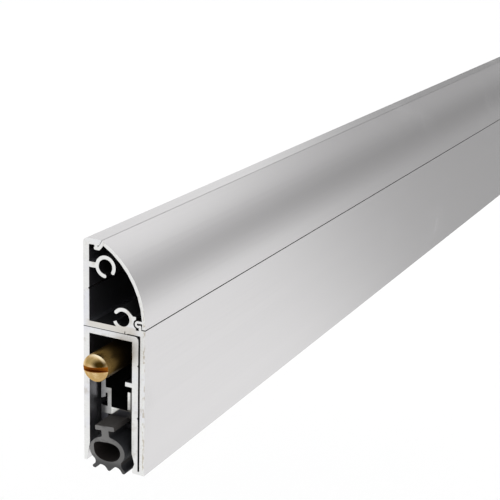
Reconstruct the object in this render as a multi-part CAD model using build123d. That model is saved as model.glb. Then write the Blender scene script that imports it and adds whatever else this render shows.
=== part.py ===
from build123d import *
import math
import os

os.makedirs("parts", exist_ok=True)

# Automatic door bottom seal, sizes in millimetres.
# X runs along the bar, the button end at -X. The front faces -Y and the door is at +Y.
# Z is up. Y = 0 is the face that lies on the door, Z = 0 the line of the fixing holes.
# Sections are drawn as (depth, height): depth from the door face, height from the foot of the front leg.

# whole bar
length = 610.0
depth = 18.0
chamber_height = 21.65
fixing_line_rise = 8.65

# housing, an upside-down channel
housing_height = 37.65
housing_gap = 0.55
back_leg_wall = 1.7
front_leg_wall = 1.75
housing_top_wall = 1.65
housing_corner_radius = 1.2
rib_thickness = 1.15
rib_reach = 2.0
foot_flare_height = 5.6
foot_flare = 0.95
back_foot = 0.5
foot_notch_height = 1.85
foot_notch_reach = 0.8
foot_hook = 0.65
drill_groove = 0.32
groove_drop_high = 7.85
groove_drop_low = 22.05

# mounting profile
back_wall = 1.7
floor_thickness = 1.6
front_leg = 1.4
lip_thickness = 0.9
lip_reach = 3.55
lip_radius = 0.5
seam_ledge_rise = 0.2
flange_thickness = 1.5
flange_reach = 5.45
flange_lean = 0.85
flange_corner = 1.2
flange_nose = 0.375
flange_nose_inner = 3.3
flange_nose_outer = 4.2
relief_width = 3.25
relief = 0.25
under_groove = 1.0
under_groove_width = 0.35
under_groove_inset = 5.85

# screw bosses, open on one side, placed from the back wall, the flange, the front and the floor
boss_bore = 3.95
boss_wall = 0.95
top_boss_reach = 4.8
top_boss_drop = 6.7
top_boss_web = 1.4
top_boss_open_from = -96.0
top_boss_open_to = -30.0
low_boss_inset = 6.5
low_boss_rise = 2.25
low_boss_open_from = 142.0
low_boss_open_to = 202.0

# clip at the front of the floor
socket_inset = 2.1
socket_rise = 1.65
socket_radius = 1.32
strut_rise = 3.5
strut_inset = 2.7
keeper_inset = 1.85
keeper_thickness = 0.7
keeper_rise = 1.5

# cover
cover_wall = 0.9
cover_centre_rise = 1.05
cover_top_gap = 0.02
cover_top_drop = 0.087
seam_gap = 0.3
top_hook_wall = 0.85
low_hook_radius = 0.9
low_hook_wall = 0.6

# fixing holes in the back wall
fixing_hole = 4.5
fixing_countersink = 7.1
fixing_inset = 50.0
fixing_count = 4

# travel
button_travel = 5.0
seal_travel = 10.0

# guide blocks, with the mechanism hung from the housing's ceiling
block_height = 11.15
block_length = 18.0
near_block_inset = 34.0
far_block_inset = 106.0
block_tongue = 1.15
block_tongue_gap = 0.2
spring_slot_length = 5.8
spring_slot_width = 4.8
screw_diameter = 3.0
screw_head = 5.6
screw_slot = 0.6
screw_tip_gap = 0.2
running_gap = 0.05

# push rod, button and nut
rod_diameter = 5.0
rod_drop = 5.85
rod_past_block = 15.0
button_diameter = 7.2
button_dome = 1.4
button_proud = 8.4
button_length = 22.4
button_slot = 1.1
button_slot_depth = 2.4
button_bore_depth = 10.0
nut_flats = 8.0
nut_thickness = 3.0
nut_chamfer = 0.45
rod_chamfer = 0.5

# drop bar: heights above its foot, widths out from its middle
bar_recess = 4.3
bar_top_gap = 0.3
bar_side_gap = 0.8
bar_height = 13.4
bar_flange_wall = 1.3
bar_floor_rise = 4.8
bar_web_rise = 10.0
bar_web_thickness = 1.5
bar_groove_width = 0.6
bar_channel_wall = 1.15
groove_high_rise = 6.8
groove_low_rise = 5.1
groove_undercut = 0.6
slot_half = 3.4
slot_depth = 2.8
slot_lip = 1.3
slot_mouth_half = 1.35

# seal strip, hung from the drop bar's foot
seal_proud = 2.5
seal_slant = 1.5
head_half = 2.8
head_thickness = 1.3
stem_half = 1.05
bulb_drop = 4.7
bulb_half_height = 4.2
bulb_crown = 6.0
bulb_side = 3.6
hollow_half_height = 3.15
hollow_crown = 4.65
hollow_side = 2.75
hollow_flat = 2.4
hollow_shoulder_half = 3.65
hollow_shoulder = 1.5
fin_drop = 5.8
fin_width = 0.8
fin_spread = 4.35
fin_arch_rise = 1.0
fin_flank_out = 1.65
fin_flank_rise = 1.8
fin_root = 1.8

# sliders and swing arms
arm_inset = 155.0
slider_length = 16.0
slider_side_gap = 0.5
slider_over_rod = 4.65
fork_shoulder = 0.6
fork_slot = 2.6
fork_radius = 2.6
pivot_drop_from_rod = 6.75
pivot_diameter = 3.0
arm_thickness = 2.4
arm_head_radius = 2.5
arm_head_gap = 0.3
arm_foot_radius = 2.2
arm_waist = 3.4
arm_slot_spare = 0.12
foot_pin_rise = 7.4
pin_end_gap = 0.1

# lift springs
spring_pin_diameter = 1.6
hanger_drop_from_rod = 4.55
spring_pin_rise = 7.2
spring_wire = 0.45
spring_side_gap = 0.7
spring_turns = 5
spring_eye_gap = 0.06
spring_neck = 0.7

# side glides
glide_inset = 65.0
glide_length = 12.0
glide_gap = 0.1
glide_lip = 0.8

# places along the bar
x_near = -length / 2
x_far = length / 2
block_places = (x_near + near_block_inset, 0.0, x_far - far_block_inset)
spring_places = (block_places[0], block_places[-1])
arm_places = (x_near + arm_inset, x_far - arm_inset)
glide_places = (x_near + glide_inset, x_far - glide_inset)
rod_end = block_places[-1] + rod_past_block
button_back = x_near - button_proud + button_length
fixing_spacing = (length - 2 * fixing_inset) / (fixing_count - 1)

# heights, from the foot of the front leg up
housing_ceiling = housing_height - housing_top_wall
housing_groove_high = housing_height - groove_drop_high
housing_groove_low = housing_height - groove_drop_low
floor_top = housing_height + floor_thickness
height = floor_top + chamber_height
fixing_line = floor_top + fixing_line_rise
flange_underside = height - flange_thickness
top_boss_height = height - top_boss_drop
low_boss_height = floor_top + low_boss_rise
socket_height = floor_top + socket_rise
seam_ledge = floor_top + seam_ledge_rise
cover_tip = seam_ledge + seam_gap
cover_centre_height = floor_top + cover_centre_rise
rib_top = housing_ceiling - block_height
rib_height = rib_top - rib_thickness
rod_height = housing_ceiling - rod_drop
slider_top = rod_height + slider_over_rod
pivot_height = rod_height - pivot_drop_from_rod
bar_flange_top = rib_height - bar_top_gap
bar_foot = bar_flange_top - bar_height
bar_channel_floor = bar_foot + bar_floor_rise
bar_web_top = bar_foot + bar_web_rise
bar_groove_high = bar_foot + groove_high_rise
bar_groove_low = bar_foot + groove_low_rise
slot_ceiling = bar_foot + slot_depth
head_seat = bar_foot + slot_lip
bulb_height = bar_foot - bulb_drop
fin_tip = bulb_height - fin_drop
foot_pin_height = bar_foot + foot_pin_rise
spring_pin_high = rod_height - hanger_drop_from_rod
spring_pin_low = bar_foot + spring_pin_rise

# depths, from the door face to the front
front_leg_inner = depth - front_leg
housing_depth = front_leg_inner - housing_gap
housing_inner_back = back_leg_wall
housing_inner_front = housing_depth - front_leg_wall
middle = (housing_inner_back + housing_inner_front) / 2
inner_half = (housing_inner_front - housing_inner_back) / 2
top_boss_depth = back_wall + top_boss_reach
low_boss_depth = depth - low_boss_inset
socket_depth = depth - socket_inset
keeper_inner = depth - keeper_inset
keeper_outer = keeper_inner + keeper_thickness
strut_end = depth - strut_inset
cover_top_depth = flange_reach + cover_top_gap
boss_outer = boss_bore / 2 + boss_wall

# the cover's circle stands upright at the front and meets the flange's edge
cover_span = depth - cover_top_depth
cover_climb = height - cover_top_drop - cover_centre_height
cover_radius = (cover_span**2 + cover_climb**2) / (2 * cover_span)
cover_centre_depth = depth - cover_radius

# half widths of what runs between the housing's legs
block_half = inner_half - running_gap
tongue_half = inner_half - rib_reach - block_tongue_gap
slider_half = inner_half - rib_reach - slider_side_gap
fork_half = slider_half - fork_shoulder
bar_half = inner_half - bar_side_gap
flange_inner = bar_half - bar_flange_wall
bar_channel_half = flange_inner - bar_groove_width - bar_channel_wall
pin_half = bar_half - pin_end_gap
spring_coil_radius = bar_channel_half - spring_side_gap

# the arm is as long as both ends of the travel ask for
pivot_drop = pivot_height - foot_pin_height
arm_reach = (seal_travel**2 + 2 * seal_travel * pivot_drop + button_travel**2) / (2 * button_travel)
arm_length = math.hypot(arm_reach, pivot_drop)
arm_angle = math.degrees(math.atan2(pivot_drop, arm_reach))
arm_angle_down = math.degrees(math.atan2(pivot_drop + seal_travel, arm_reach - button_travel))


def section(d, h):
    return (-d, h - fixing_line)


def rect(d0, d1, h0, h1):
    y, z = section(d0, h0)
    return Pos(y, z) * Rectangle(d1 - d0, h1 - h0, align=(Align.MAX, Align.MIN))


def disc(d, h, r):
    return Pos(*section(d, h)) * Circle(r)


def outline(*corners):
    pts = [section(d, h) for d, h in corners]
    area = sum(a[0] * b[1] - b[0] * a[1] for a, b in zip(pts, pts[1:] + pts[:1]))
    if area < 0:
        pts.reverse()
    return make_face(Polyline(*pts, close=True))


def oval(d, h, half, crown, side):
    # two wide arcs above and below, their corners rounded off
    lens = disc(d, h + half - crown, crown) & disc(d, h - half + crown, crown)
    return fillet(lens.vertices(), side)


def both_rects(inner, outer, h0, h1):
    return rect(middle - outer, middle - inner, h0, h1) + rect(middle + inner, middle + outer, h0, h1)


def both_outlines(*corners):
    back = outline(*[(middle - o, h) for o, h in corners])
    return back + outline(*[(middle + o, h) for o, h in corners])


def on_circle(d, h, r, angle):
    turn = math.radians(angle)
    return (d + r * math.cos(turn), h + r * math.sin(turn))


def wedge(d, h, r, start, end):
    rim = [on_circle(d, h, r, start + (end - start) * i / 6) for i in range(7)]
    return outline((d, h), *rim)


def band(path, wall):
    # a wall of even thickness along a path of (depth, height) points, with round ends
    pts = [section(d, h) for d, h in path]
    face = Pos(*pts[0]) * Circle(wall / 2) + Pos(*pts[-1]) * Circle(wall / 2)
    return face + trace(Polyline(*pts), line_width=wall)


def corners_of(face, test):
    return [v for v in face.vertices() if test(-v.X, v.Y + fixing_line)]


def drawn(face, x0, x1):
    return extrude(Plane.YZ.offset(x0) * face, amount=x1 - x0, dir=(1, 0, 0))


def brick(x0, x1, d0, d1, h0, h1):
    return drawn(rect(d0, d1, h0, h1), x0, x1)


def along_x(x0, x1, d, h, r):
    return drawn(disc(d, h, r), x0, x1)


def across_y(x, h, d0, d1, r):
    start = Plane(origin=(x, -d0, h - fixing_line), x_dir=(1, 0, 0), z_dir=(0, -1, 0))
    return extrude(start * Circle(r), amount=d1 - d0)


def down_z(x, d, h_top, h_low, r):
    start = Plane(origin=(x, -d, h_top - fixing_line), x_dir=(1, 0, 0), z_dir=(0, 0, -1))
    return extrude(start * Circle(r), amount=h_top - h_low)


def sink_z(x, d, h_top, r_top, r_low):
    # a cone for a countersunk head, at 45 degrees, wide end up
    deep = r_top - r_low
    return Pos(x, -d, h_top - fixing_line - deep / 2) * Cone(r_low, r_top, deep)


def save(solids, name):
    shape = solids if not isinstance(solids, list) else Compound(children=solids)
    shape.label = name
    export_step(shape, f"parts/{name}.step")


# housing: two legs, a top wall, a rib on each leg, flared feet and two drill grooves
channel = rect(0, housing_depth, lip_thickness, housing_height)
channel += rect(0, back_leg_wall, back_foot, housing_height)
channel = fillet(corners_of(channel, lambda d, h: d > 1 and h > lip_thickness + 1), housing_corner_radius)
channel -= rect(housing_inner_back, housing_inner_front, 0, housing_ceiling)
channel += rect(housing_inner_back - 0.5, housing_inner_back + rib_reach, rib_height, rib_top)
channel += rect(housing_inner_front - rib_reach, housing_inner_front + 0.5, rib_height, rib_top)
channel -= outline(
    (housing_inner_back + 0.5, foot_flare_height),
    (housing_inner_back, foot_flare_height),
    (housing_inner_back - foot_flare, back_foot),
    (housing_inner_back + 0.5, back_foot),
)
notch_deepest = housing_inner_front + foot_notch_reach
channel -= outline(
    (housing_inner_front - 0.5, foot_flare_height),
    (housing_inner_front, foot_flare_height),
    (notch_deepest, lip_thickness + foot_notch_height),
    (notch_deepest - foot_hook, lip_thickness),
    (housing_inner_front - 0.5, lip_thickness),
)
for line in (housing_groove_high, housing_groove_low):
    channel -= outline(
        (housing_depth - drill_groove, line),
        (housing_depth + 0.1, line + drill_groove + 0.1),
        (housing_depth + 0.1, line - drill_groove - 0.1),
    )
housing = drawn(channel, x_near, x_far)
for x in block_places:
    housing -= down_z(x, middle, housing_height, housing_ceiling, screw_diameter / 2)
    housing -= sink_z(x, middle, housing_height, screw_head / 2, screw_diameter / 2)
save(housing, "housing")

# mounting profile: back wall, flange, floor, front leg and its turned-in lip
profile = rect(0, back_wall, housing_height, height)
profile += outline(
    (0, height),
    (flange_reach, height),
    (flange_reach - flange_lean, flange_underside),
    (0, flange_underside),
)
profile = fillet(corners_of(profile, lambda d, h: d < 0.1 and h > height - 0.1), flange_corner)
profile += rect(flange_nose_inner, flange_nose_outer, flange_underside - flange_nose, flange_underside)
profile += rect(0, depth, housing_height, floor_top)
profile += rect(front_leg_inner, depth, 0, seam_ledge)
lip = rect(depth - lip_reach, depth, 0, lip_thickness)
profile += fillet(corners_of(lip, lambda d, h: d < depth - 1 and h < 0.1), lip_radius)

# two open screw bosses, the first on a short web and the second on the floor
web_low = top_boss_height - top_boss_web / 2
profile += rect(back_wall - 0.2, top_boss_depth, web_low, web_low + top_boss_web)
profile += disc(top_boss_depth, top_boss_height, boss_outer)
profile += disc(low_boss_depth, low_boss_height, boss_outer)

# strut with the socket that the cover's hook turns into
profile += outline(
    on_circle(low_boss_depth, low_boss_height, boss_outer, 55),
    (low_boss_depth + boss_outer, floor_top + strut_rise),
    (strut_end, floor_top + strut_rise),
    (strut_end, floor_top - 0.2),
    (low_boss_depth, floor_top - 0.2),
)
profile -= disc(socket_depth, socket_height, socket_radius)
profile -= disc(top_boss_depth, top_boss_height, boss_bore / 2)
profile -= disc(low_boss_depth, low_boss_height, boss_bore / 2)
profile -= wedge(top_boss_depth, top_boss_height, boss_outer + 1, top_boss_open_from, top_boss_open_to)
profile -= wedge(low_boss_depth, low_boss_height, boss_outer + 0.4, low_boss_open_from, low_boss_open_to)
boss_mid = (boss_bore + boss_wall) / 2
for d, h, angle in (
    (top_boss_depth, top_boss_height, top_boss_open_from),
    (top_boss_depth, top_boss_height, top_boss_open_to),
    (low_boss_depth, low_boss_height, low_boss_open_from),
):
    profile += disc(*on_circle(d, h, boss_mid, angle), boss_wall / 2)

# keeper that stands between the cover's hook and the cover's tip
keeper_round = floor_top + keeper_rise - keeper_thickness / 2
profile += rect(keeper_inner, keeper_outer, floor_top - 0.2, keeper_round)
profile += disc(keeper_inner + keeper_thickness / 2, keeper_round, keeper_thickness / 2)

# room over the housing's front corner, and the two drill grooves
relief_back = housing_depth - relief_width
profile -= rect(relief_back, front_leg_inner, housing_height - 0.5, housing_height + relief)
profile -= outline(
    (back_wall - drill_groove, fixing_line),
    (back_wall + 0.1, fixing_line + drill_groove + 0.1),
    (back_wall + 0.1, fixing_line - drill_groove - 0.1),
)
profile -= outline(
    (depth - under_groove_inset, housing_height + under_groove),
    (depth - under_groove_inset - under_groove_width / 2, housing_height),
    (depth - under_groove_inset + under_groove_width / 2, housing_height),
)
mounting = drawn(profile, x_near, x_far)
for i in range(fixing_count):
    x = (i - (fixing_count - 1) / 2) * fixing_spacing
    mounting -= across_y(x, fixing_line, -1, back_wall + 1, fixing_hole / 2)
    sink = (fixing_countersink - fixing_hole) / 2
    cone = Cone(fixing_hole / 2, fixing_countersink / 2, sink)
    mounting -= Pos(x, -(back_wall - sink / 2), 0) * Rot(90, 0, 0) * cone
save(mounting, "mounting_profile")

# cover: a thin quarter round with a hook at each edge
crown = disc(cover_centre_depth, cover_centre_height, cover_radius)
crown -= disc(cover_centre_depth, cover_centre_height, cover_radius - cover_wall)
crown &= rect(cover_top_depth, depth + 1, cover_tip, height + 1)
crown_mid = cover_radius - cover_wall / 2
crown_rise = math.sqrt(crown_mid**2 - (cover_top_depth + 0.2 - cover_centre_depth) ** 2)
hook_level = flange_underside - flange_nose - top_hook_wall / 2
crown += band(
    [
        (cover_top_depth + 0.2, cover_centre_height + crown_rise),
        (flange_nose_outer + 1.05, flange_underside),
        (flange_nose_outer + 0.35, hook_level),
        (flange_nose_inner + 0.25, hook_level),
    ],
    top_hook_wall,
)
hook_under = socket_height + low_hook_radius - low_hook_wall
hook = disc(socket_depth, socket_height, low_hook_radius)
hook -= disc(socket_depth, socket_height, low_hook_radius - low_hook_wall)
hook -= rect(keeper_inner, depth, socket_height - low_hook_radius, hook_under)
hook += rect(socket_depth, depth - cover_wall / 2, hook_under, hook_under + low_hook_wall)
crown += hook
save(drawn(crown, x_near, x_far), "snap_cover")

# drop bar: floor, channel walls, outer flanges with side grooves, and the slot for the seal
beam = rect(middle - bar_half, middle + bar_half, bar_foot, bar_channel_floor)
beam += both_rects(bar_channel_half, bar_channel_half + bar_channel_wall, bar_channel_floor, bar_web_top)
beam += both_rects(bar_channel_half, bar_half, bar_web_top - bar_web_thickness, bar_web_top)
beam += both_outlines(
    (bar_half, bar_flange_top),
    (flange_inner, bar_flange_top),
    (flange_inner, bar_groove_high + groove_undercut),
    (bar_half, bar_groove_high),
)
beam += both_outlines(
    (bar_half, bar_channel_floor),
    (bar_half, bar_groove_low),
    (bar_half - groove_undercut, bar_channel_floor),
)
beam -= rect(middle - slot_half, middle + slot_half, head_seat, slot_ceiling)
beam -= rect(middle - slot_mouth_half, middle + slot_mouth_half, bar_foot, slot_ceiling)
bar_near = x_near + bar_recess
bar_far = x_far - bar_recess
drop_bar = drawn(beam, bar_near, bar_far)
for x in arm_places:
    drop_bar -= across_y(x, foot_pin_height, 0, housing_depth, pivot_diameter / 2)
for x in spring_places:
    drop_bar -= across_y(x, spring_pin_low, 0, housing_depth, spring_pin_diameter / 2)
save(drop_bar, "drop_bar")

# seal strip: head in the slot, stem, hollow bulb and three fins
strip = rect(middle - head_half, middle + head_half, head_seat, head_seat + head_thickness)
strip += rect(middle - stem_half, middle + stem_half, bulb_height + 2, head_seat + 0.2)
strip += oval(middle, bulb_height, bulb_half_height, bulb_crown, bulb_side)
bulb_low = bulb_height - bulb_half_height
fin_round = fin_width / 2
fin_end = fin_tip + fin_round
comb = rect(middle - fin_spread - fin_round, middle + fin_spread + fin_round, fin_end, bulb_low + fin_root)

# arches between the fins, and hollow flanks outside them
arch_half = fin_spread / 2 - fin_round
arch_radius = (arch_half**2 + fin_arch_rise**2) / (2 * fin_arch_rise)
flank_radius = math.hypot(fin_flank_out - fin_round, fin_flank_rise)
for side in (-1, 1):
    comb -= disc(middle + side * fin_spread / 2, fin_end + fin_arch_rise - arch_radius, arch_radius)
    comb -= disc(middle + side * (fin_spread + fin_flank_out), fin_end + fin_flank_rise, flank_radius)
strip += comb
for side in (-1, 0, 1):
    strip += disc(middle + side * fin_spread, fin_end, fin_round)
hollow = oval(middle, bulb_height, hollow_half_height, hollow_crown, hollow_side)
hollow &= rect(0, depth, 0, bulb_height + hollow_flat)
upper_back = middle - hollow_shoulder_half
upper_front = middle + hollow_shoulder_half
upper = rect(upper_back, upper_front, bulb_height, bulb_height + hollow_flat)
upper = fillet(corners_of(upper, lambda d, h: h > bulb_height + 0.1), hollow_shoulder)
strip -= hollow + upper
seal = drawn(strip, x_near - seal_proud, x_far + seal_proud - seal_slant)
slant = Plane.XZ * make_face(
    Polyline(
        (x_near - seal_proud - 5, slot_ceiling - fixing_line),
        (x_near - seal_proud, slot_ceiling - fixing_line),
        (x_near - seal_proud + seal_slant, fin_tip - fixing_line),
        (x_near - seal_proud + seal_slant, fin_tip - 5 - fixing_line),
        (x_near - seal_proud - 5, fin_tip - 5 - fixing_line),
        close=True,
    )
)
seal -= extrude(slant, amount=depth + 1, both=True)
save(seal, "seal_strip")

# button: a slotted round head with a domed end, bored for the rod
button_front = x_near - button_proud
button = along_x(button_front + button_dome, button_back, middle, rod_height, button_diameter / 2)
dome_radius = ((button_diameter / 2) ** 2 + button_dome**2) / (2 * button_dome)
dome = Pos(button_front + dome_radius, -middle, rod_height - fixing_line) * Sphere(dome_radius)
dome &= along_x(button_front, button_front + button_dome, middle, rod_height, button_diameter / 2)
button += dome
button -= brick(
    button_front - 1,
    button_front + button_slot_depth,
    middle - button_diameter,
    middle + button_diameter,
    rod_height - button_slot / 2,
    rod_height + button_slot / 2,
)
button -= along_x(button_back - button_bore_depth, button_back, middle, rod_height, rod_diameter / 2)
save(button, "button")

# push rod, with the nut that locks the button
rod = along_x(button_back - button_bore_depth, rod_end, middle, rod_height, rod_diameter / 2)
rod = chamfer(rod.edges().filter_by(GeomType.CIRCLE), rod_chamfer)
save(rod, "push_rod")
nut_back = button_back + nut_thickness
nut_face = Pos(*section(middle, rod_height)) * RegularPolygon(nut_flats / 2, 6, major_radius=False)
nut_blank = along_x(button_back, nut_back, middle, rod_height, nut_flats / math.sqrt(3))
nut = chamfer(nut_blank.edges().filter_by(GeomType.CIRCLE), nut_chamfer)
nut &= drawn(nut_face, button_back, nut_back)
nut -= along_x(button_back, nut_back, middle, rod_height, rod_diameter / 2)
save(nut, "lock_nut")

# guide blocks that sit on the ribs and carry the rod
screw_tip = rod_height + rod_diameter / 2 + screw_tip_gap
hanger_back = middle - tongue_half
hanger_front = middle + tongue_half
for name, x in zip(("guide_block_near", "guide_block_mid", "guide_block_far"), block_places):
    x0 = x - block_length / 2
    x1 = x + block_length / 2
    block = brick(x0, x1, middle - block_half, middle + block_half, rib_top, housing_ceiling)
    block += brick(x0, x1, middle - tongue_half, middle + tongue_half, rib_top - block_tongue, rib_top)
    block -= along_x(x0, x1, middle, rod_height, rod_diameter / 2 + running_gap)
    block -= brick(
        x - spring_slot_length / 2,
        x + spring_slot_length / 2,
        middle - spring_slot_width / 2,
        middle + spring_slot_width / 2,
        rib_top - block_tongue,
        rod_height,
    )
    block -= across_y(x, spring_pin_high, hanger_back, hanger_front, spring_pin_diameter / 2)
    block -= down_z(x, middle, housing_ceiling, screw_tip, screw_diameter / 2)
    save(block, name)

# screws that hold the guide blocks, let into the housing's top wall
screws = []
for x in block_places:
    screw = down_z(x, middle, housing_height, screw_tip, screw_diameter / 2)
    screw += sink_z(x, middle, housing_height, screw_head / 2, screw_diameter / 2)
    slot_floor = housing_height - screw_slot
    screw -= brick(x - screw_slot / 2, x + screw_slot / 2, 0, depth, slot_floor, housing_height)
    screws.append(screw)
save(screws, "guide_screws")

# cross pins that the lift springs hang on, in the blocks and in the drop bar
hangers = []
for x in spring_places:
    hangers.append(across_y(x, spring_pin_high, hanger_back, hanger_front, spring_pin_diameter / 2))
save(hangers, "spring_hangers")
for name, x in zip(("spring_pin_near", "spring_pin_far"), spring_places):
    save(across_y(x, spring_pin_low, middle - pin_half, middle + pin_half, spring_pin_diameter / 2), name)

# sliders clamped on the rod, each with a fork for a swing arm
slider_bottom = rib_top - block_tongue
fork_back = middle - fork_half
fork_front = middle + fork_half
for name, x_pin in zip(("slider_near", "slider_far"), arm_places):
    x = x_pin - arm_reach
    x0 = x - slider_length / 2
    x1 = x + slider_length / 2
    body = brick(x0, x1, middle - slider_half, middle + slider_half, slider_bottom, slider_top)
    body += across_y(x, pivot_height, fork_back, fork_front, fork_radius)
    body += brick(x - fork_radius, x + fork_radius, fork_back, fork_front, pivot_height, slider_bottom)
    slot_top = pivot_height + arm_head_radius + arm_head_gap
    body -= brick(x0, x1, middle - fork_slot / 2, middle + fork_slot / 2, 0, slot_top)
    body -= along_x(x0, x1, middle, rod_height, rod_diameter / 2)
    body -= across_y(x, pivot_height, 0, housing_depth, pivot_diameter / 2)
    body -= down_z(x, middle, slider_top, rod_height, screw_diameter / 2)
    save(body, name)

# set screws and fork pins
rod_top = rod_height + rod_diameter / 2
set_screws = []
for x_pin in arm_places:
    x = x_pin - arm_reach
    screw = down_z(x, middle, slider_top, rod_top, screw_diameter / 2)
    screw -= brick(x - screw_slot / 2, x + screw_slot / 2, 0, depth, slider_top - screw_slot, slider_top)
    set_screws.append(screw)
save(set_screws, "set_screws")
for name, x_pin in zip(("fork_pin_near", "fork_pin_far"), arm_places):
    save(across_y(x_pin - arm_reach, pivot_height, fork_back, fork_front, pivot_diameter / 2), name)

# swing arms: a round hole on the fork pin, a short slot on the drop bar's pin
slot_travel = 0
for i in range(11):
    moved = button_travel * i / 10
    turn = math.radians(arm_angle + (arm_angle_down - arm_angle) * i / 10)
    along = (arm_reach - moved) * math.cos(turn) + (pivot_drop + seal_travel * i / 10) * math.sin(turn)
    slot_travel = max(slot_travel, arm_length - along)
slot_half_height = pivot_diameter / 2 + running_gap
for name, x_pin in zip(("swing_arm_near", "swing_arm_far"), arm_places):
    foot = arm_length + arm_slot_spare
    blade = Circle(arm_head_radius) + Pos(arm_length, 0) * Circle(arm_foot_radius)
    blade += Pos(arm_length / 2, 0) * Rectangle(arm_length, arm_waist)
    blade -= Circle(pivot_diameter / 2 + running_gap)
    near_end = arm_length - slot_travel - arm_slot_spare
    blade -= Pos(near_end, 0) * Circle(slot_half_height) + Pos(foot, 0) * Circle(slot_half_height)
    blade -= Pos((near_end + foot) / 2, 0) * Rectangle(foot - near_end, 2 * slot_half_height)
    side = Plane(
        origin=(x_pin - arm_reach, -(middle - arm_thickness / 2), pivot_height - fixing_line),
        x_dir=(math.cos(math.radians(arm_angle)), 0, -math.sin(math.radians(arm_angle))),
        z_dir=(0, -1, 0),
    )
    save(extrude(side * blade, amount=arm_thickness), name)
for name, x in zip(("bar_pin_near", "bar_pin_far"), arm_places):
    save(across_y(x, foot_pin_height, middle - pin_half, middle + pin_half, pivot_diameter / 2), name)

# lift springs from a hanger to a pin in the drop bar: six-sided wire with an eye at each end
eye = spring_pin_diameter / 2 + spring_wire / 2 + spring_eye_gap
coil_top = spring_pin_high - eye - spring_neck
coil_low = spring_pin_low + eye + spring_neck
coil_pitch = (coil_top - coil_low) / spring_turns
wire = RegularPolygon(spring_wire / 2, 6)
coil_foot = Pos(0, -middle, coil_low - fixing_line)
coil_line = coil_foot * Helix(coil_pitch, coil_top - coil_low, spring_coil_radius)
spring = sweep(Plane(origin=coil_line @ 0, z_dir=coil_line % 0) * wire, path=coil_line)
for pin_level, side, end in ((spring_pin_high, -1, coil_line @ 1), (spring_pin_low, 1, coil_line @ 0)):
    centre = Vector(0, -middle, pin_level - fixing_line)
    eye_start = Plane(origin=centre + Vector(eye, 0, 0), z_dir=(0, 0, 1))
    spring += revolve(eye_start * wire, Axis(centre, (0, 1, 0)))
    neck_start = centre + Vector(0, 0, side * eye)
    neck = Line(neck_start, end + (end - neck_start).normalized() * spring_wire / 4)
    spring += sweep(Plane(origin=neck @ 0, z_dir=neck % 0) * wire, path=neck)
for name, x in zip(("lift_spring_near", "lift_spring_far"), spring_places):
    save(Pos(x, 0, 0) * spring, name)

# glides clipped into the side grooves, so that the drop bar runs straight
glide_root = bar_channel_half + bar_channel_wall + glide_gap
glide_face = inner_half - running_gap
pad = both_rects(glide_root, flange_inner - glide_gap, bar_channel_floor, bar_web_top - bar_web_thickness)
pad += both_rects(flange_inner - 2 * glide_gap, glide_face, bar_groove_low, bar_groove_high)
pad += both_rects(bar_half, glide_face, bar_groove_low - glide_lip, bar_groove_high + glide_lip)
glides = []
for x in glide_places:
    glides += drawn(pad, x - glide_length / 2, x + glide_length / 2).solids()
save(glides, "side_glides")
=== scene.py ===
import math

import bmesh
import bpy
from mathutils import Matrix, Vector


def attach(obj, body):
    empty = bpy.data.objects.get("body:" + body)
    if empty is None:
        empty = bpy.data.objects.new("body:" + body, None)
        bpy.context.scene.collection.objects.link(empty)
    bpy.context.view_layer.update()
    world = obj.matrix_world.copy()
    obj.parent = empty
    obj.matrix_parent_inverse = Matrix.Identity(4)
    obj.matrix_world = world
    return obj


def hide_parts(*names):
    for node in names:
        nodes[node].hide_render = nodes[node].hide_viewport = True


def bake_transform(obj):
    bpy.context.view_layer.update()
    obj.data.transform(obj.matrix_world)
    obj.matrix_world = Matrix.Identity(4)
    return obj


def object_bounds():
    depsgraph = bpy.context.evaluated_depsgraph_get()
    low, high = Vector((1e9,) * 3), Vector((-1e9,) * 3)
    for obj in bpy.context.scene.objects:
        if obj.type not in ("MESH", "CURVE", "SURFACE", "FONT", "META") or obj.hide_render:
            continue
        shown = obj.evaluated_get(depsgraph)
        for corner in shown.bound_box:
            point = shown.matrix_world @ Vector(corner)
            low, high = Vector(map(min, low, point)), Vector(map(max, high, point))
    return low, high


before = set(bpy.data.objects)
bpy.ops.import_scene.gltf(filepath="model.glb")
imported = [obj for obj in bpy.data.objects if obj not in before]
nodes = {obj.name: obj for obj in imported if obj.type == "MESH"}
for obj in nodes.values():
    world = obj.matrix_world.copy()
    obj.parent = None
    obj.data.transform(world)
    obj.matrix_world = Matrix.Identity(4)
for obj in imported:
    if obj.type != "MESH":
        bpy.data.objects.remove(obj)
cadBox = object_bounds()
print("door seal: frame loaded,", len(nodes), "nodes")

mm = 0.001
middleY = -8.0 * mm  # the upright plane that the rod, the springs and the seal share
rodZ = -17.75 * mm  # the axis of the rod and the button
footZ = -47.9 * mm  # the foot of the front leg
slotTurn = math.radians(6.0)  # how far the button's slot stands off level


# small helpers for node trees, the same for materials and for geometry

def addNode(tree, kind, inputs=None, **settings):
    node = tree.nodes.new(kind)
    for key, value in settings.items():
        setattr(node, key, value)
    for key, value in (inputs or {}).items():
        if isinstance(value, bpy.types.NodeSocket):
            tree.links.new(value, node.inputs[key])
        else:
            node.inputs[key].default_value = value
    return node


def made(tree, kind, inputs=None):
    return addNode(tree, kind, inputs).outputs[0]


def calc(tree, operation, a, b=0.0, c=0.0):
    return addNode(tree, "ShaderNodeMath", {0: a, 1: b, 2: c}, operation=operation).outputs[0]


def plus(tree, a, b):
    return calc(tree, "ADD", a, b)


def minus(tree, a, b):
    return calc(tree, "SUBTRACT", a, b)


def times(tree, first, *others):
    for other in others:
        first = calc(tree, "MULTIPLY", first, other)
    return first


def larger(tree, first, *others):
    for other in others:
        first = calc(tree, "MAXIMUM", first, other)
    return first


def distance(tree, a, b):
    return calc(tree, "SQRT", plus(tree, times(tree, a, a), times(tree, b, b)))


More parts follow.
